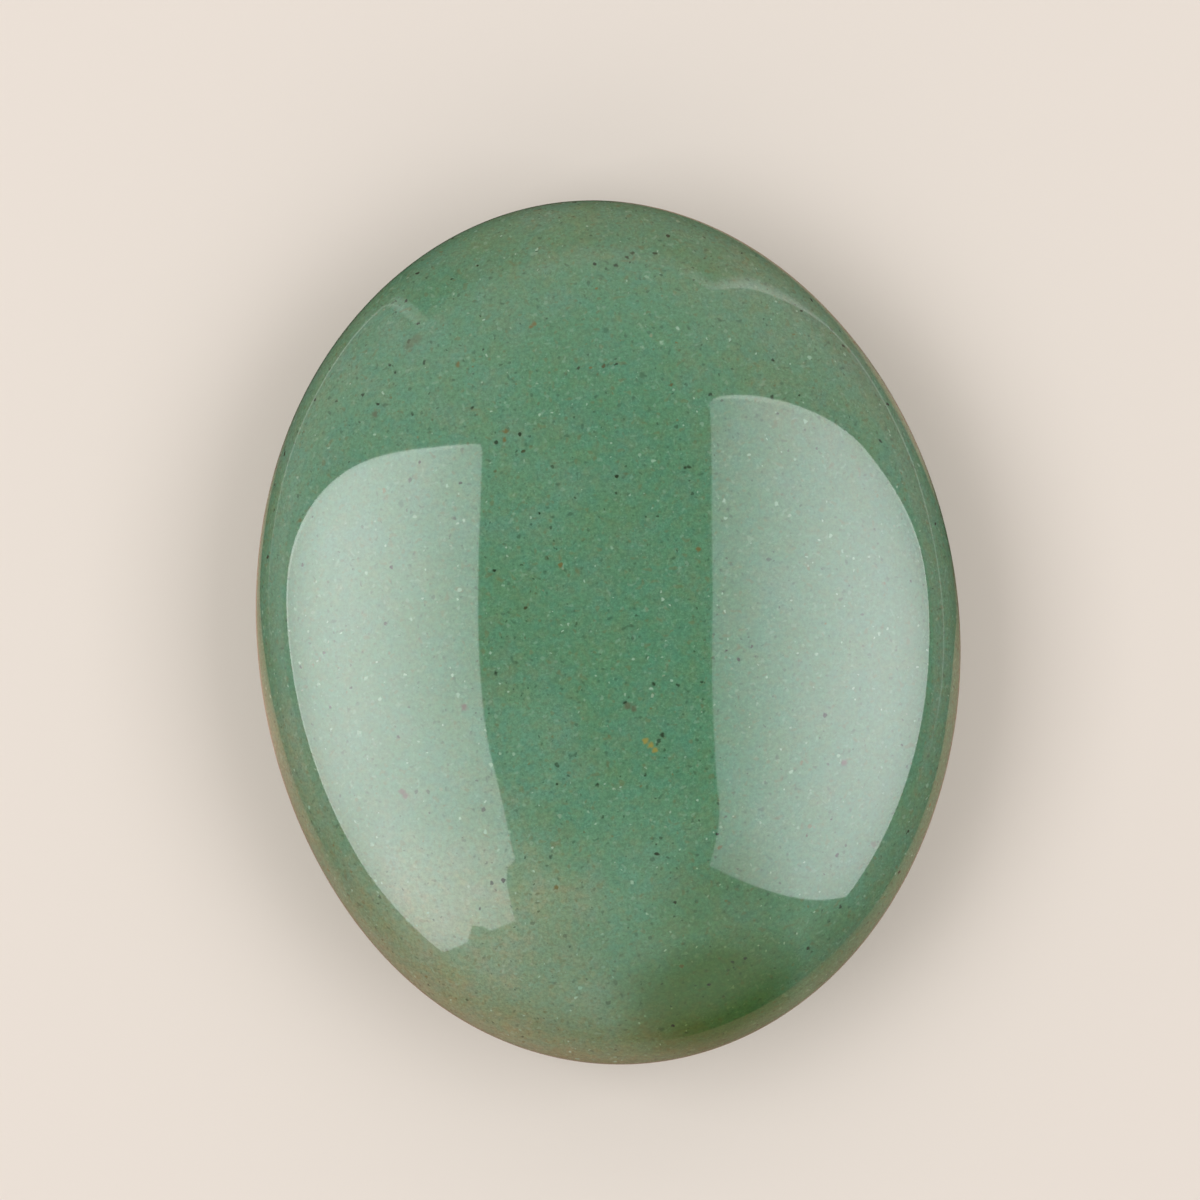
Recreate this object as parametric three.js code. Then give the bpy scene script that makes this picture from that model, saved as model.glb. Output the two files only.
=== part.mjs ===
// Palm stone: one oval pebble of green stone, ground by hand to a smooth dome above and below,
// with fully rounded sides and a small flat spot underneath that it rests on.
// Millimetres, +Z up. The oval's long way lies along Y, and the origin is under the middle of
// the stone, on the flat spot.

import * as THREE from "three";

// The stone's size: the oval seen from above, and its depth above and below its widest line.
const LENGTH = 61.0;
const WIDTH = 49.5;
const CROWN_HEIGHT = 10.5;
const BELLY_DEPTH = 10.5;

// The flat spot is an oval like the outline, and this is its share of the outline's size.
const REST_SHARE = 0.27;

// The hand-held grind leaves the oval a few hundredths of a millimetre off true. Each swell
// repeats a whole number of times round the rim, stands out by a share of the radius, and has
// one of its peaks at an angle from +X.
const SWELLS = [
  { times: 3, share: 0.0022, peak: THREE.MathUtils.degToRad(-4) },
  { times: 4, share: 0.0013, peak: THREE.MathUtils.degToRad(-27) },
  { times: 5, share: 0.0014, peak: THREE.MathUtils.degToRad(8) },
];

// Facets: sides round the oval, and bands from the flat spot up to the widest line and from
// there up to the top.
const SIDES = 96;
const BELLY_BANDS = 15;
const CROWN_BANDS = 17;

// Half the stone's outline as cut through the middle, from the middle of the flat spot round to
// the top. Heights are real, and the radius at the widest line is 1.
function sideProfile() {
  const restTurn = Math.acos(REST_SHARE);
  const fullDepth = BELLY_DEPTH / Math.sin(restTurn);
  const belly = new THREE.EllipseCurve(0, BELLY_DEPTH, 1, fullDepth, -restTurn, 0);
  const crown = new THREE.EllipseCurve(0, BELLY_DEPTH, 1, CROWN_HEIGHT, 0, Math.PI / 2);
  return [
    new THREE.Vector2(0, 0),
    ...belly.getPoints(BELLY_BANDS),
    ...crown.getPoints(CROWN_BANDS).slice(1, -1),
    new THREE.Vector2(0, BELLY_DEPTH + CROWN_HEIGHT),
  ];
}

// How far the grind stands off a true oval at an angle round the stone, as a share of radius.
function swellAt(angle) {
  let off = 0;
  for (const { times, share, peak } of SWELLS) off += share * Math.cos(times * (angle - peak));
  return off;
}

function palmStoneGeometry() {
  const geometry = new THREE.LatheGeometry(sideProfile(), SIDES).rotateX(Math.PI / 2);
  const position = geometry.getAttribute("position");
  for (let i = 0; i < position.count; i++) {
    const x = position.getX(i);
    const y = position.getY(i);
    const grow = 1 + swellAt(Math.atan2(y, x));
    position.setXY(i, x * grow, y * grow);
  }

  // The round blank becomes the oval: centred over the origin, with the stone's width and length.
  geometry.computeBoundingBox();
  const { min, max } = geometry.boundingBox;
  geometry.translate(-(min.x + max.x) / 2, -(min.y + max.y) / 2, 0);
  geometry.scale(WIDTH / (max.x - min.x), LENGTH / (max.y - min.y), 1);
  geometry.computeVertexNormals();
  return geometry;
}

const greenStone = new THREE.MeshStandardMaterial({
  color: 0x5d8868,
  roughness: 0.08,
  metalness: 0,
});

const palmStone = new THREE.Mesh(palmStoneGeometry(), greenStone);
palmStone.name = "palm_stone";

const part = new THREE.Group();
part.add(palmStone);

export default part;
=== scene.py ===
import math

import bpy
import numpy as np
from mathutils import Matrix, Vector


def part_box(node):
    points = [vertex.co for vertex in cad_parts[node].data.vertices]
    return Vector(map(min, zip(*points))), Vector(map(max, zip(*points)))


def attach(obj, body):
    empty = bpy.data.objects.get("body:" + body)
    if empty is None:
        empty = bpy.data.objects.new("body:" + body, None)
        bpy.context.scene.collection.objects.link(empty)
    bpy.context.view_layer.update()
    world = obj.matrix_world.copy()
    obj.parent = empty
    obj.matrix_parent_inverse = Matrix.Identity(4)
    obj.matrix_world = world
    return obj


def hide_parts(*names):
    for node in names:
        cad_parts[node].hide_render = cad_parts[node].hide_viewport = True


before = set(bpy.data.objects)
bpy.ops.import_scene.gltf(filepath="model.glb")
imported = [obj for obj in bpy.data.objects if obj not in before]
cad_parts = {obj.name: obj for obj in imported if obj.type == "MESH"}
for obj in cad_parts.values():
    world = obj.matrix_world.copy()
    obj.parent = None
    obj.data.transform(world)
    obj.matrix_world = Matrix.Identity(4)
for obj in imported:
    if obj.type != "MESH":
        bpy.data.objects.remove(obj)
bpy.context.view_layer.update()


# The palm stone
# One oval pebble of green aventurine, sawn from a slab, ground by hand to a dome on both sides
# and tumbled to a glassy polish. The underside keeps a small flat spot that it rests on.

MM = 0.001
stone_low, stone_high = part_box("palm_stone")
half_width = (stone_high.x - stone_low.x) / 2
half_length = (stone_high.y - stone_low.y) / 2
widest_height = (stone_high.z - stone_low.z) / 2
crown_height = stone_high.z - widest_height

# The flat spot is an oval of this share of the outline. The lower half is drawn out so far that
# the cut at the floor leaves it.
rest_share = 0.27
belly_reach = widest_height / math.sqrt(1 - rest_share**2)
sliver = 0.06 * MM

bpy.ops.object.select_all(action="DESELECT")
bpy.ops.mesh.primitive_ico_sphere_add(subdivisions=7, radius=half_width, location=(0, 0, widest_height))
stone = bpy.context.object
stone.name = stone.data.name = "polished_stone"
bpy.ops.object.mode_set(mode="EDIT")
bpy.ops.mesh.select_all(action="SELECT")
bpy.ops.transform.resize(value=(1, half_length / half_width, crown_height / half_width))
bpy.ops.mesh.select_all(action="DESELECT")
bpy.ops.object.mode_set(mode="OBJECT")
for vertex in stone.data.vertices:
    vertex.select = vertex.co.z < 0
bpy.ops.object.mode_set(mode="EDIT")
bpy.ops.transform.resize(value=(1, 1, belly_reach / crown_height), center_override=(0, 0, widest_height))
bpy.ops.mesh.select_all(action="SELECT")
bpy.ops.mesh.bisect(plane_co=(0, 0, 0), plane_no=(0, 0, -1), use_fill=True, clear_outer=True)
bpy.ops.mesh.select_all(action="SELECT")
bpy.ops.mesh.remove_doubles(threshold=sliver)
bpy.ops.object.mode_set(mode="OBJECT")
bpy.ops.object.transform_apply(location=True, rotation=True, scale=True)

# The hand-held grind leaves the oval a few hundredths of a millimetre off true: each swell goes
# a whole number of times round the rim, with its share of the radius and the angle of a peak.
grind_swells = [
    (3, 0.0022, math.radians(-4)),
    (4, 0.0013, math.radians(-27)),
    (5, 0.0014, math.radians(8)),
]
corners = np.empty(len(stone.data.vertices) * 3)
stone.data.vertices.foreach_get("co", corners)
corners = corners.reshape(-1, 3)
round_angle = np.arctan2(corners[:, 1] / half_length, corners[:, 0] / half_width)
swell = sum(share * np.cos(times * (round_angle - peak)) for times, share, peak in grind_swells)
corners[:, :2] *= 1 + swell[:, None]
stone.data.vertices.foreach_set("co", corners.ravel())

# Polishing by hand leaves the dome very slightly rippled, so mirrored edges wander a little. The
# ripple fades out to the flat spot.
ripple_depth = 0.02 * MM
ripple_size = 11 * MM
ripple_fade = 1.5 * MM
polish_ripple = bpy.data.textures.new("polish_ripple", type="CLOUDS")
polish_ripple.noise_scale = ripple_size
polish_ripple.noise_depth = 0
above_rest = stone.vertex_groups.new(name="above_rest")
for vertex in stone.data.vertices:
    above_rest.add([vertex.index], min(1.0, vertex.co.z / ripple_fade), "REPLACE")
ripple = stone.modifiers.new("polish_ripple", "DISPLACE")
ripple.texture = polish_ripple
ripple.texture_coords = "LOCAL"
ripple.strength = ripple_depth
ripple.vertex_group = "above_rest"
bpy.ops.object.modifier_apply(modifier=ripple.name)
stone.vertex_groups.clear()

# The finished stone takes the frame's own box.
stone.data.vertices.foreach_get("co", corners.reshape(-1))
lowest, highest = corners.min(0), corners.max(0)
frame_low, frame_high = np.array(stone_low), np.array(stone_high)
corners = frame_low + (corners - lowest) * (frame_high - frame_low) / (highest - lowest)
stone.data.vertices.foreach_set("co", corners.ravel())
bpy.ops.object.shade_smooth()


class Signal:
    """The output of a shader node. Plain arithmetic on it adds Math nodes."""

    def __init__(self, tree, socket):
        self.tree = tree
        self.socket = socket

    def node(self, kind, inputs, output=0, **settings):
        """Adds a node to this tree: its settings first, then the values or links of its sockets."""
        made = self.tree.nodes.new("ShaderNode" + kind)
        stops = settings.pop("stops", None)
        for name, value in settings.items():
            setattr(made, name, value)
        if stops:
            ramp = made.color_ramp
            while len(ramp.elements) < len(stops):
                ramp.elements.new(0.5)
            for element, (place, colour) in zip(ramp.elements, stops):
                element.position = place
                element.color = (*colour, 1)
        for name, value in inputs.items():
            if isinstance(value, Signal):
                self.tree.links.new(value.socket, made.inputs[name])
            else:
                made.inputs[name].default_value = value
        return Signal(self.tree, made.outputs[output])

    def output(self, name):
        """Another output of the same node."""
        return Signal(self.tree, self.socket.node.outputs[name])

    def math(self, operation, first, second=0.0):
        return self.node("Math", {0: first, 1: second}, operation=operation)

    def __add__(self, other):
        return self.math("ADD", self, other)

    __radd__ = __add__

    def __mul__(self, other):
        return self.math("MULTIPLY", self, other)

    __rmul__ = __mul__

    def __sub__(self, other):
        return self.math("SUBTRACT", self, other)

    def __rsub__(self, other):
        return self.math("SUBTRACT", other, self)

    def __abs__(self):
        return self.math("ABSOLUTE", self)

    def ramp(self, start, end, low=0.0, high=1.0):
        """Goes softly from low to high while this value goes from start to end."""
        reach = {"Value": self, "From Min": start, "From Max": end, "To Min": low, "To Max": high}
        return self.node("MapRange", reach, interpolation_type="SMOOTHSTEP")

    def scaled(self, factor):
        """This vector or colour, times a number."""
        return self.node("VectorMath", {0: self, "Scale": factor}, operation="SCALE")

    def stretched(self, factors):
        """This vector, times a factor of its own along each axis."""
        return self.node("VectorMath", {0: self, 1: factors}, operation="MULTIPLY")

    def shifted(self, other):
        """This vector or colour, plus another."""
        return self.node("VectorMath", {0: self, 1: other}, operation="ADD")

    def length(self):
        """The length of this vector."""
        return self.node("VectorMath", {0: self}, output=1, operation="LENGTH")

    def distance_to(self, point):
        """How far this place is from a point."""
        return self.node("VectorMath", {0: self, 1: point}, output=1, operation="DISTANCE")

    def plain(self, colour):
        """One colour all over, in the same tree."""
        made = self.node("RGB", {})
        made.socket.default_value = (*colour, 1)
        return made

    def tinted(self, colour, amount):
        """This colour, turned towards another by an amount from 0 to 1."""
        other = colour if isinstance(colour, Signal) else (*colour, 1)
        return self.node("Mix", {0: amount, 6: self, 7: other}, output=2, data_type="RGBA")

    def stained(self, stain, amount):
        """This colour, multiplied by a stain as far as the amount says."""
        parts = {0: amount, 6: self, 7: (*stain, 1)}
        return self.node("Mix", parts, output=2, data_type="RGBA", blend_type="MULTIPLY")


def place_in_mm(tree):
    """A signal of the Object coordinates in mm."""
    return Signal(tree, tree.nodes.new("ShaderNodeTexCoord").outputs["Object"]).scaled(1 / MM)


def new_material(name):
    """A material with only a Principled shader, and a signal of its place."""
    material = bpy.data.materials.new(name)
    material.use_nodes = True
    return material, material.node_tree.nodes["Principled BSDF"], place_in_mm(material.node_tree)


def noise(place, size, shift, detail, roughness=0.5):
    """Smooth noise from 0 to 1 with lumps of about this size in mm. Each shift gives a new pattern."""
    moved = place.shifted((shift, -shift, shift))
    settings = {"Vector": moved, "Scale": 1 / size, "Detail": detail, "Roughness": roughness}
    return place.node("TexNoise", settings)


def flecks(place, spacing, radius, shift):
    """Small grains, one in each of so many cells: their mask, and a random kind from 0 to 1."""
    moved = place.shifted((shift, shift, -shift))
    distance = place.node("TexVoronoi", {"Vector": moved, "Scale": 1 / spacing})
    chance = place.node("SeparateColor", {0: distance.output("Color")})
    reach = chance.ramp(0.2, 1.0, 0.0, radius / spacing)
    core = (reach - distance).ramp(0.0, radius / spacing * 0.45)
    return core * chance.output("Green").ramp(0.0, 0.8, 0.3, 1.0), chance.output("Blue")


def zone(place, wander, centre, reach):
    """A mask of one broad patch: 1 round its centre in mm, fading out towards its wandering reach."""
    return (place.distance_to(centre) + wander * reach).ramp(reach, reach * 0.3)


def marks(place, radius, spots):
    """A mask of listed round spots of one radius on the dome, each at x and y in mm."""
    nearest = None
    for x, y in spots:
        share_out = (x / (half_width / MM)) ** 2 + (y / (half_length / MM)) ** 2
        z = (widest_height + crown_height * math.sqrt(1 - share_out)) / MM
        distance = place.distance_to((x, y, z))
        nearest = distance if nearest is None else nearest.math("MINIMUM", nearest, distance)
    return nearest.ramp(radius * 1.25, radius * 0.35)


green_stone, shader, place = new_material("polished_aventurine")

# The body of the stone: sea green quartz. It is mintier on the left, greyer at the top end, and
# milky and olive at the lower left. The pale olive there and on the left is partly the stone's own
# colour and partly painted light shining through it. Each zone has its colour, centre and reach
# in mm, and amount.
SEA_GREEN = (0.078, 0.205, 0.112)
MINT_GREEN = (0.100, 0.230, 0.139)
ASH_GREEN = (0.102, 0.208, 0.118)
LEAF_GREEN = (0.066, 0.202, 0.110)
PALE_OLIVE_AND_GLOW = (0.168, 0.244, 0.140)
BROWN_OLIVE = (0.145, 0.168, 0.070)
MILKY_GREEN = (0.180, 0.290, 0.190)
wander = noise(place, 7.0, 1.9, 3.0) * 0.7 - 0.35
colour = place.plain(SEA_GREEN)
for zone_colour, centre, reach, amount in [
    (MINT_GREEN, (-16, 15, 16), 15, 0.7),
    (MINT_GREEN, (-5, 10, 20), 7, 0.5),
    (MINT_GREEN, (-8, -8, 20), 8, 0.9),
    (MINT_GREEN, (-1, -16, 18), 8, 0.6),
    (ASH_GREEN, (17, 19, 15), 13, 0.9),
    (ASH_GREEN, (0, 28, 15), 12, 0.5),
    (LEAF_GREEN, (2, 19, 19), 8, 0.8),
    (LEAF_GREEN, (3, -3, 21), 7, 0.5),
    (LEAF_GREEN, (6, -8, 20), 6, 0.6),
    # Pale olive: partly the stone's colour, partly painted light shining through it.
    (PALE_OLIVE_AND_GLOW, (-12, -24, 15), 16, 0.9),
    (PALE_OLIVE_AND_GLOW, (-24, -8, 12), 8, 0.5),
    (MILKY_GREEN, (-11.5, -16, 17), 8, 0.4),
    (BROWN_OLIVE, (-2, -31, 9), 10, 0.5),
]:
    colour = colour.tinted(zone_colour, zone(place, wander, centre, reach) * amount)

# Painted shade: the colour is darker and yellower towards the rim, most of all round the foot.
PAINTED_RIM_SHADE = (0.97, 0.86, 0.83)
along = place.node("SeparateXYZ", {0: place}, output=1)
rim_shade = along.output("Z").ramp(16.8, 12.8) * along.ramp(14.0, -10.0, 0.20, 1.0)
colour = colour.stained(PAINTED_RIM_SHADE, rim_shade)

# Faint clouds of yellower, greyer, bluer and browner quartz lie over all of it. Each has its
# stain, its size in mm, its pattern, and where in the noise it starts and is full.
MOSSY = (1.07, 0.99, 0.93)
GREYISH = (1.09, 1.00, 1.06)
BLUISH = (0.93, 1.01, 1.08)
BROWNISH = (1.13, 0.98, 0.96)
for stain, size, shift, start, full in [
    (MOSSY, 3.2, 3.1, 0.44, 0.70),
    (GREYISH, 2.6, 17.7, 0.44, 0.70),
    (BLUISH, 1.0, 41.3, 0.44, 0.64),
    (BROWNISH, 0.6, 67.9, 0.46, 0.66),
]:
    colour = colour.stained(stain, noise(place, size, shift, 1.0).ramp(start, full))

# The grain of the quartz, with tiny plates of green mica that stand out one by one.
GREEN_MICA = (0.170, 0.340, 0.225)
grain = noise(place, 0.26, 5.0, 2.0, 0.8).ramp(0.25, 0.75, 0.83, 1.18)
plates = noise(place, 0.17, 9.0, 1.0).ramp(0.56, 0.70) * noise(place, 1.1, 23.0, 0.0).ramp(0.35, 0.6)
colour = colour.scaled(grain).tinted(GREEN_MICA, plates * 0.27)

# Soft dots of dark and rusty quartz, soft painted glints, and sharper specks scattered all
# through the stone, of which the palest are painted glints. The specks' edges are uneven because
# their place is.
BLACK_MICA = (0.014, 0.030, 0.012)
RUST = (0.125, 0.116, 0.040)
MICA_GLINT = (0.360, 0.520, 0.400)
DIM_MICA_GLINT = (0.220, 0.370, 0.260)
smoke = noise(place, 0.36, 61.3, 0.0)
colour = colour.tinted(BLACK_MICA, smoke.ramp(0.70, 0.86) * 0.40)
colour = colour.tinted(MICA_GLINT, smoke.ramp(0.31, 0.17) * 0.16)
colour = colour.tinted(RUST, noise(place, 0.42, 83.1, 0.0).ramp(0.68, 0.82) * 0.35)
UNEVEN_BY = 0.22
uneven = place.node("TexNoise", {"Vector": place, "Scale": 4.0, "Detail": 0.0}, output=1)
uneven = uneven.shifted((-0.5, -0.5, -0.5)).scaled(UNEVEN_BY).shifted(place)
for spacing, radius, shift, strength, glint in [
    (0.46, 0.12, 11.3, 0.6, MICA_GLINT),
    (0.88, 0.20, 31.7, 1.0, DIM_MICA_GLINT),
]:
    speck, kind = flecks(uneven, spacing, radius, shift)
    kinds = [(0.0, BLACK_MICA), (0.46, BLACK_MICA), (0.54, RUST), (0.62, RUST), (0.70, glint)]
    colour = colour.tinted(kind.node("ValToRGB", {"Fac": kind}, stops=kinds), speck * strength)

# The marks that this stone is known by, with their radius in mm, their strength and their places.
SMUDGE = (0.085, 0.088, 0.050)
AMBER = (0.230, 0.220, 0.055)
RUSSET = (0.110, 0.070, 0.055)
DARK_LEAF = (0.020, 0.085, 0.040)
for mark_colour, radius, strength, spots in [
    (SMUDGE, 0.46, 0.45, [(-11.55, 21.15), (-11.05, 21.50)]),
    (SMUDGE, 0.28, 0.7, [(0.75, -5.00), (1.15, -5.20), (-14.35, 16.60), (16.65, -16.45)]),
    (RUST, 0.20, 0.95, [
        (-5.50, 14.40), (-5.65, 13.80), (-2.85, 21.55), (-3.05, 21.40), (6.65, 5.05), (5.95, -15.25),
        (-18.85, -16.80), (-8.30, 19.35),
    ]),
    (AMBER, 0.25, 1.0, [(1.72, -7.48), (2.00, -7.80), (2.28, -8.12)]),
    (RUSSET, 0.28, 0.8, [(-15.15, -9.25), (-14.95, -9.55), (15.10, -10.45), (-10.25, -3.90)]),
    (BLACK_MICA, 0.17, 0.9, [
        (2.90, -7.20), (2.65, -3.65), (0.60, -4.75), (6.38, 10.64), (6.62, 10.66), (3.20, 25.10),
        (4.05, 25.60), (4.40, 25.90), (5.95, 25.70), (-7.60, 16.25), (-13.00, 19.90), (-12.70, 19.35),
        (12.85, 14.90), (6.95, -23.25), (13.90, -20.50), (-7.85, -1.85),
    ]),
    (DARK_LEAF, 0.26, 0.6, [(2.00, 20.60), (-13.10, 10.30), (0.80, -27.65), (4.15, 17.20)]),
    # The pale spots are painted glints.
    (MICA_GLINT, 0.15, 0.6, [
        (2.45, -4.00), (6.90, 20.20), (5.70, 19.35), (8.75, 8.10), (-9.40, 8.50), (-8.95, 8.65),
    ]),
]:
    colour = colour.tinted(mark_colour, marks(uneven, radius, spots) * strength)

# A faint darker tint at the lower left, and a deep green cloud at the lower right with two thinner
# ends, partly the stone's colour and partly painted shade. They lie over the specks, and dim them
# along with the body.
FOOT_STAIN = (0.80, 0.89, 0.88)
DEEP_GREEN_AND_SHADE = (0.44, 0.50, 0.20)
colour = colour.stained(FOOT_STAIN, zone(place, wander, (-4, -23.5, 16), 7.5))
deep_and_shade = zone(place, wander, (4.7, -25.0, 14.5), 8.8)
for centre, reach, amount in [((5.5, -20.5, 17), 8, 0.42), ((12.5, -23.5, 14), 5.5, 0.32)]:
    deep_and_shade = deep_and_shade.math("MAXIMUM", deep_and_shade, zone(place, wander, centre, reach) * amount)
colour = colour.stained(DEEP_GREEN_AND_SHADE, deep_and_shade)

green_stone.node_tree.links.new(colour.socket, shader.inputs["Base Color"])
shader.inputs["Roughness"].default_value = 0.035
shader.inputs["IOR"].default_value = 1.55
shader.inputs["Subsurface Weight"].default_value = 0.25
shader.inputs["Subsurface Radius"].default_value = (0.6, 1.0, 0.7)
shader.inputs["Subsurface Scale"].default_value = 0.6 * MM
stone.data.materials.append(green_stone)

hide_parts("palm_stone")
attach(stone, "root")


# The floor
# A plain pale board with a warm tint, matt all over and much wider than the view. The stone's
# polish doesn't mirror it: the glowing card and the room take its place there.

FLOOR_SIDE = 3000 * MM
bpy.ops.object.select_all(action="DESELECT")
bpy.ops.mesh.primitive_plane_add(size=FLOOR_SIDE, location=(0, 0, 0))
floor = bpy.context.object
floor.name = floor.data.name = "floor"
pale_board, board_shader, _ = new_material("pale_board")
board_shader.inputs["Base Color"].default_value = (0.71, 0.66, 0.61, 1)
board_shader.inputs["Roughness"].default_value = 0.9
board_shader.inputs["Specular IOR Level"].default_value = 0.0
floor.data.materials.append(pale_board)
floor.visible_glossy = False


# The camera
# It looks straight down on the stone, turned so that the oval's top leans to the left, from as
# far as its lens needs to show the stone at the photograph's size.

IMAGE_SIDE = 1200
STONE_LENGTH_PIXELS = 864.5
view_turn = math.radians(-6.07)
view_centre = Vector((-0.343, 2.32, 10.5)) * MM
view_width = IMAGE_SIDE / STONE_LENGTH_PIXELS * 2 * half_length
camera_data = bpy.data.cameras.new("camera")
camera_data.sensor_width = 36
camera_data.lens = 100
camera = bpy.data.objects.new("camera", camera_data)
camera_distance = view_width * camera_data.lens / camera_data.sensor_width
camera.location = view_centre + Vector((0, 0, camera_distance))
camera.rotation_euler = (0, 0, view_turn)
bpy.context.collection.objects.link(camera)
bpy.context.scene.camera = camera


# The softboxes
# Two large softboxes lean in from the left and the right, with a dark gap between them for the
# camera. Each is a glowing cloth panel that the polish mirrors, and a soft light that shines on
# the stone and the floor from a little higher up.

SOFTBOX_DISTANCE = 600 * MM
SOFTBOX_LEAN = math.radians(55)
LIGHT_LEAN = math.radians(38)
LIGHT_SIDE = 450 * MM
HEM_THICKNESS = 9 * MM
HEM_COLOUR = (1.0, 1.0, 1.0)


def rounded(points, steps=5):
    """A smooth curve through the points, with this many steps from each point to the next."""
    points = np.array([points[0], *points, points[-1]], dtype=float)
    curve = []
    for before, start, end, after in zip(points, points[1:], points[2:], points[3:]):
        slope = (end - before) / 2
        bend = (2 * before - 5 * start + 4 * end - after) / 2
        twist = (3 * start - before - 3 * end + after) / 2
        for step in range(steps):
            t = step / steps
            curve.append(start + slope * t + bend * t**2 + twist * t**3)
    return curve


# Each outline is walked round from its top inner corner, as (along, up the slope) in mm: over the
# top end, back along the lower edge, across the foot end and along the upper edge.
LEFT_OUTLINE = [
    *rounded([(282, 396), (251, 254), (202, -17), (132, -235), (51, -348), (-76, -325), (-213, -289),
              (-427, -233), (-568, -165), (-721, -87)]),
    (-721, -87), (-675, 36), (-646, 115), (-572, 190), (-582, 232), (-606, 255), (-588, 372),
    (-461, 388), (-423, 405),
    *rounded([(-408, 439), (-281, 432), (-175, 414), (-84, 411), (150, 414), (282, 403)]),
]
RIGHT_OUTLINE = [
    *rounded([(394, 388), (396, 328), (374, 184), (315, -77), (260, -198), (184, -337), (113, -376),
              (-27, -336), (-144, -307), (-296, -254), (-467, -179)]),
    *rounded([(-467, -179), (-446, 59), (-427, 264), (-413, 445)]),
    *rounded([(-413, 445), (-304, 436), (-197, 464), (-58, 481), (91, 470), (202, 446), (394, 388)]),
]


def cut_sheet(name, outline, height=0.0):
    """A flat sheet cut along an outline in mm, lying at a height."""
    bpy.ops.object.select_all(action="DESELECT")
    bpy.ops.mesh.primitive_circle_add(vertices=len(outline), fill_type="NGON")
    sheet = bpy.context.object
    sheet.name = sheet.data.name = name
    for vertex, (x, y) in zip(sheet.data.vertices, outline):
        vertex.co = (x * MM, y * MM, height)
    return sheet


def new_glow(name):
    """An empty material that is never sampled as a lamp, and a signal of its place."""
    glow = bpy.data.materials.new(name)
    glow.use_nodes = True
    glow.node_tree.nodes.clear()
    glow.cycles.emission_sampling = "NONE"
    return glow, place_in_mm(glow.node_tree)


def show_in_polish(piece, glow, place, glow_colour, strength):
    """Lets a piece glow, but only where a polished surface mirrors it."""
    emission = place.node("Emission", {"Color": (*glow_colour, 1), "Strength": strength})
    surface = glow.node_tree.nodes.new("ShaderNodeOutputMaterial").inputs["Surface"]
    glow.node_tree.links.new(emission.socket, surface)
    piece.data.materials.append(glow)
    piece.visible_camera = False
    piece.visible_diffuse = False


def softbox(name, side, outline, hem, glow_colour, lamp_centre, lamp_reach, strengths, power):
    """A panel that is brightest before its lamp, its bright hem over the top end and along the
    lower edge, and its soft light. The strengths are the panel's away from and before the lamp,
    and the hem's."""
    panel = cut_sheet(name, outline)
    away = Vector((side * math.sin(SOFTBOX_LEAN), 0, math.cos(SOFTBOX_LEAN)))
    up_slope = Vector((-side * math.cos(SOFTBOX_LEAN), 0, math.sin(SOFTBOX_LEAN)))
    along_slope = Vector((0, 1, 0))
    axes = Matrix((along_slope, up_slope, along_slope.cross(up_slope))).transposed()
    turned = Matrix.Translation(view_centre) @ Matrix.Rotation(view_turn, 4, "Z")
    panel.matrix_world = turned @ Matrix.Translation(away * SOFTBOX_DISTANCE) @ axes.to_4x4()
    glow, place = new_glow(name)
    dim_strength, lamp_strength, hem_strength = strengths
    from_lamp = place.shifted((-lamp_centre[0], -lamp_centre[1], 0))
    from_lamp = from_lamp.stretched((1 / lamp_reach[0], 1 / lamp_reach[1], 0)).length()
    strength = from_lamp.ramp(1.0, 0.0, dim_strength, lamp_strength)
    show_in_polish(panel, glow, place, glow_colour, strength)

    bpy.ops.object.select_all(action="DESELECT")
    bpy.ops.curve.primitive_nurbs_path_add()
    edge = bpy.context.object
    edge.name = edge.data.name = name + "_hem"
    path = edge.data.splines[0]
    path.points.add(len(hem) - len(path.points))
    for index, (point, (along, up)) in enumerate(zip(path.points, hem)):
        point.co = (along * MM, up * MM, 0, 1)
        point.radius = math.sin(math.pi * (index + 0.5) / len(hem))
    path.use_endpoint_u = True
    edge.data.bevel_depth = HEM_THICKNESS
    edge.matrix_world = panel.matrix_world
    glow, place = new_glow(name + "_hem")
    show_in_polish(edge, glow, place, HEM_COLOUR, hem_strength)

    soft_light = bpy.data.lights.new(name + "_light", type="AREA")
    soft_light.shape = "SQUARE"
    soft_light.size = LIGHT_SIDE
    soft_light.energy = power
    light = bpy.data.objects.new(name + "_light", soft_light)
    swung = turned @ Matrix.Rotation(side * LIGHT_LEAN, 4, "Y")
    light.matrix_world = swung @ Matrix.Translation((0, 0, SOFTBOX_DISTANCE))
    light.visible_glossy = False
    bpy.context.collection.objects.link(light)


softbox("left_softbox", -1, LEFT_OUTLINE, LEFT_OUTLINE[1:38], (1.03, 1.0, 1.02),
        lamp_centre=(-40, 6), lamp_reach=(920, 560), strengths=(2.6, 7.2, 6.0), power=2.4)
softbox("right_softbox", 1, RIGHT_OUTLINE, RIGHT_OUTLINE[1:40], (1.04, 1.0, 1.06),
        lamp_centre=(-50, -10), lamp_reach=(900, 650), strengths=(1.4, 6.7, 4.8), power=1.8)


# The glowing card
# A sheet that glows warm though it is no lamp lies on the floor round the stone, cut close on the
# left and right and run out long past the oval's foot. Only the polish shows it: a painted
# reflection, seen as an olive edge round the rim.

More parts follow.
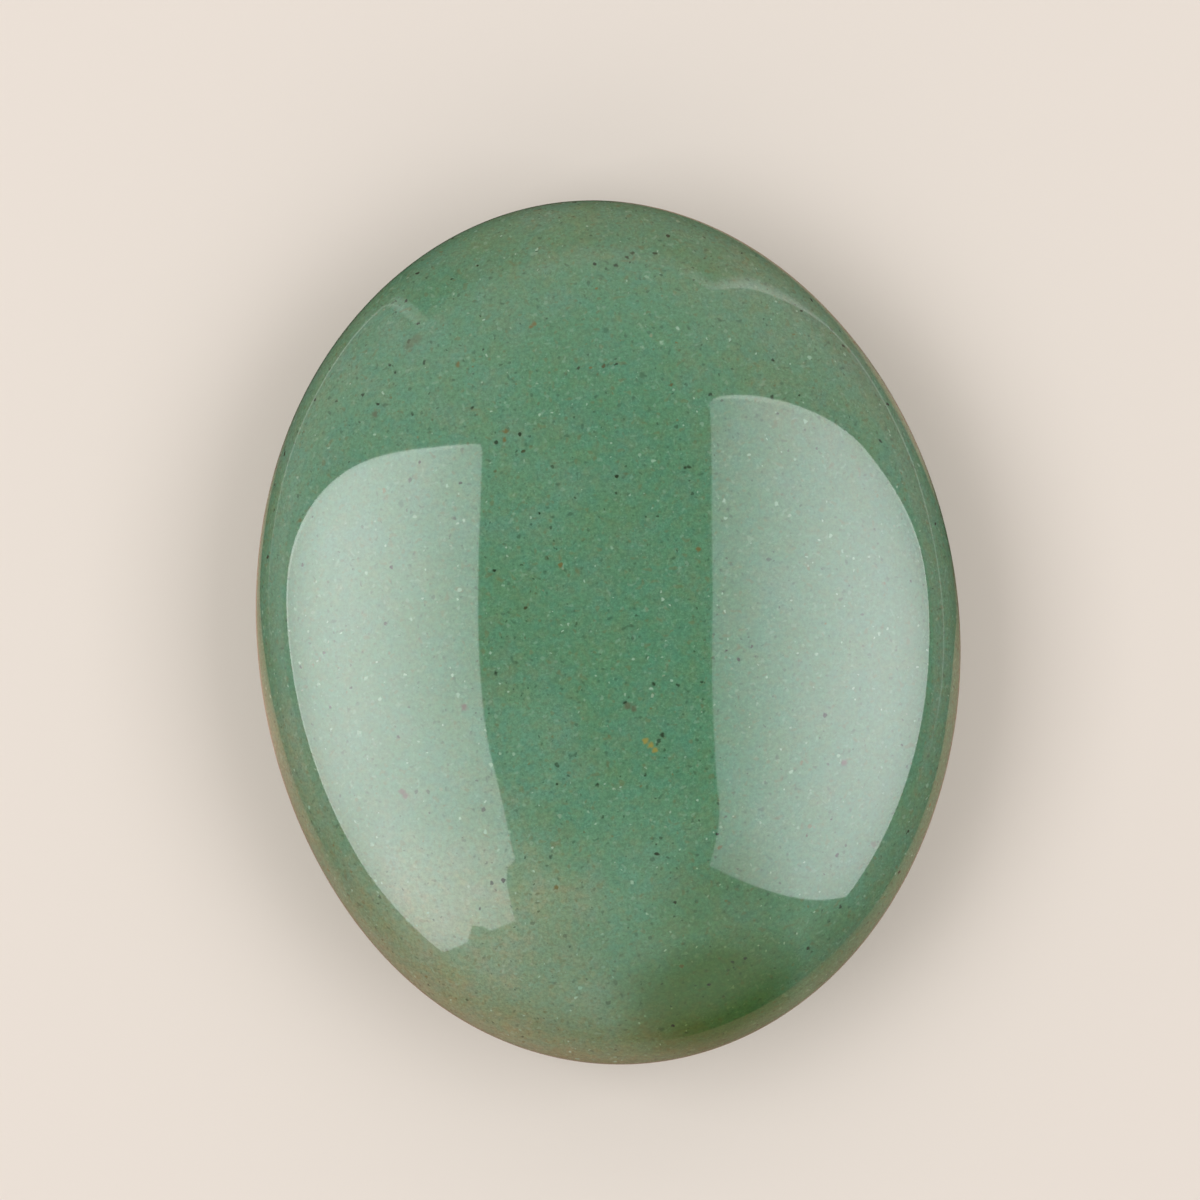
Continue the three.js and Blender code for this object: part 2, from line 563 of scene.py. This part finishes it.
CARD_OUTLINE = [
    *rounded([(-43.5, 0), (-40, 3.5), (-35, 7.5), (-32.5, 13), (-28, 19), (-18, 31), (0, 37), (10, 34.5),
              (17, 33), (22, 29), (26, 26), (31, 23.5), (34, 19.5), (34, 14), (32, 6), (33.5, -1),
              (39.5, -4.7), (43.5, -8), (46, -13.5), (44, -20), (43, -26.5), (46, -43), (51, -67), (60, -100),
              (54, -140), (48, -180), (28, -220)]),
    (28, -220), (0, -500), (-500, -500), (-500, -110),
    *rounded([(-500, -110), (-120, -80), (-78, -57), (-63, -35), (-52, -22), (-50, -13), (-47.5, -5),
              (-43.5, 0)]),
]
CARD_HEIGHT = 0.3 * MM
CARD_GLOW_COLOUR = (1.0, 0.62, 0.47)
card = cut_sheet("glowing_card", CARD_OUTLINE, CARD_HEIGHT)
card.visible_shadow = False

# Its glow is painted light and shade: dim close to the stone and beside the oval's top half as
# painted shade, and brightest beside the lower one. Three spots are painted pools of light: the
# centre, how far from there in mm the light starts and is full, and the strength.
warm_glow, place = new_glow("glowing_card")
out = place.stretched((MM / half_width, MM / half_length, 0)).length()
along = place.node("SeparateXYZ", {0: place}, output=1)
lit = out.ramp(1.05, 1.8, 0.45, 1.2)
lit = lit * along.ramp(6.0, -8.0, 0.10, 0.88) * along.ramp(-16.0, -36.0, 1.0, 0.80)
for spot, start, full, strength in [
    ((-37, 6, 0), 22, 4, 0.74),
    ((33, 17, 0), 12, 4, 0.62),
    ((18, 31, 0), 16, 9, 0.36),
]:
    lit = lit + place.distance_to(spot).ramp(start, full, 0.0, strength)
show_in_polish(card, warm_glow, place, CARD_GLOW_COLOUR, lit)


# The room
# A low wall stands all round, and only the polish shows it. Its top edge runs along the horizon
# at the oval's foot, dips on the left and right and rises beyond the top end, with a lit lip.

# Each stop: the direction in degrees from the right, the edge's height, and the lip's depth and glow.
WALL_EDGE = [
    (-180, 0.00, 0.00, 0.0), (-30, 0.00, 0.00, 0.0), (-13, -0.18, 0.05, 0.7), (-3, -0.24, 0.04, 0.9),
    (6, -0.28, 0.04, 0.9), (12, -0.33, 0.04, 1.1), (16, -0.385, 0.04, 1.1), (26, -0.43, 0.04, 1.0),
    (32, -0.45, 0.04, 1.0), (35, -0.41, 0.05, 1.0), (38, -0.33, 0.08, 1.1), (41.5, -0.17, 0.16, 1.2),
    (46, 0.02, 0.26, 1.5), (51, 0.19, 0.26, 1.9), (55, 0.36, 0.20, 1.8), (58, 0.44, 0.10, 1.2),
    (65, 0.40, 0.16, 0.4), (83, 0.47, 0.20, 0.5), (104, 0.52, 0.20, 0.5), (117, 0.47, 0.16, 0.45),
    (124, 0.38, 0.12, 0.3), (126, -0.02, 0.12, 0.4), (127.5, -0.265, 0.05, 1.2), (135, -0.365, 0.045, 1.5),
    (150, -0.40, 0.045, 1.2), (158, -0.40, 0.045, 1.0), (164, -0.38, 0.04, 0.8), (174, -0.35, 0.04, 0.4),
    (180, -0.34, 0.00, 0.0),
]
EDGE_SOFTNESS = 0.012
# The light that the wall throws back, and the spill of the softboxes along the horizon.
WALL_COLOURS = [
    (-180, (0.80, 0.66, 0.60)), (-160, (0.58, 0.42, 0.34)), (-142, (0.98, 0.52, 0.44)),
    (-115, (0.66, 0.28, 0.20)), (-95, (0.76, 0.36, 0.24)), (-70, (0.18, 0.16, 0.15)),
    (-50, (0.48, 0.44, 0.42)), (-40, (0.40, 0.28, 0.28)), (-20, (0.60, 0.50, 0.48)),
    (-5, (0.74, 0.61, 0.59)), (28, (0.84, 0.71, 0.69)), (60, (0.76, 0.42, 0.38)), (98, (0.70, 0.42, 0.37)),
    (112, (0.50, 0.40, 0.36)), (124, (0.50, 0.40, 0.36)), (132, (0.80, 0.54, 0.42)),
    (165, (0.80, 0.54, 0.42)), (175, (0.80, 0.66, 0.60)),
]
SPILL = [
    (-180, 0.7), (-165, 0.3), (-150, 0.1), (-130, 0.0), (-25, 0.0), (-10, 0.2), (5, 0.25), (18, 0.5),
    (35, 0.2), (50, 0.0), (136, 0.0), (150, 0.25), (160, 0.55), (180, 0.7),
]
SKY = (1.0, 0.95, 0.90)
LEFT_HAZE = (0.75, 0.71, 0.67)
RIGHT_HAZE = (0.70, 0.44, 0.46)
BACKDROP = (0.85, 0.81, 0.77)


def around(turn, stops):
    """A colour that changes with the direction, from stops of degrees from the right and a colour."""
    stops = [(0.5 + angle / 360, tone) for angle, tone in stops]
    return turn.node("ValToRGB", {"Fac": turn}, stops=stops)


world = bpy.data.worlds.new("studio")
bpy.context.scene.world = world
world.use_nodes = True
world.cycles.sampling_method = "NONE"
tree = world.node_tree
tree.nodes.clear()
direction = Signal(tree, tree.nodes.new("ShaderNodeTexCoord").outputs["Generated"])
across = direction.node("SeparateXYZ", {0: direction})
along = across.output("Y")
height = across.output("Z")
turn = along.math("ARCTAN2", along, across) * (0.5 / math.pi) + 0.5

# A ramp holds no number below 0, so the edge's height goes in halved and raised by a half.
edge = around(turn, [(angle, (0.5 + top / 2, depth, glow)) for angle, top, depth, glow in WALL_EDGE])
edge = edge.node("SeparateColor", {0: edge})
below_edge = edge * 2.0 - 1.0 - height
lip_depth = edge.output("Green")
lip_glow = edge.output("Blue")
lip = below_edge.ramp(lip_depth, 0.0) * below_edge.ramp(-EDGE_SOFTNESS, 0.0) * lip_glow

# Sky, haze below the horizon and the wall, from the furthest to the nearest.
wall_light = around(turn, WALL_COLOURS)
sky = direction.plain(SKY).scaled(abs(along).ramp(0.25, 0.75, 0.3, 1.0))
haze = direction.plain(LEFT_HAZE).tinted(RIGHT_HAZE, across.ramp(-0.3, 0.3))
wall = wall_light.scaled(height.ramp(-0.80, -0.05, 0.2, 1.0))
room = sky.tinted(wall_light, height.ramp(0.5, 0.0) * along.ramp(-0.3, -0.8))
room = room.tinted(haze, height.ramp(0.03, -0.03))
room = room.tinted(wall, below_edge.ramp(-EDGE_SOFTNESS, EDGE_SOFTNESS))

# What gleams over it: the lip, one slim upright strip at the upper left, and the spill.
STRIP_DIRECTION = 125.4
STRIP_LEAN = 4.0
STRIP_GLOW = 0.9
GLEAM_HEIGHT = 0.10
from_strip = turn * 360 + height * STRIP_LEAN - (180 + STRIP_DIRECTION)
from_middle = abs(height - GLEAM_HEIGHT)
strip = abs(from_strip).ramp(1.6, 0.8) * from_middle.ramp(0.42, 0.15)
spill = around(turn, [(angle, (glow, glow, glow)) for angle, glow in SPILL])
room = room.shifted(lip + strip * STRIP_GLOW + spill * from_middle.ramp(0.45, 0.0))

# The camera itself sees a plain pale backdrop in its place.
seen = Signal(tree, tree.nodes.new("ShaderNodeLightPath").outputs["Is Camera Ray"])
room = room.tinted(BACKDROP, seen)
background = direction.node("Background", {"Color": room})
tree.links.new(background.socket, tree.nodes.new("ShaderNodeOutputWorld").inputs["Surface"])

bpy.context.scene.view_settings.view_transform = "Standard"
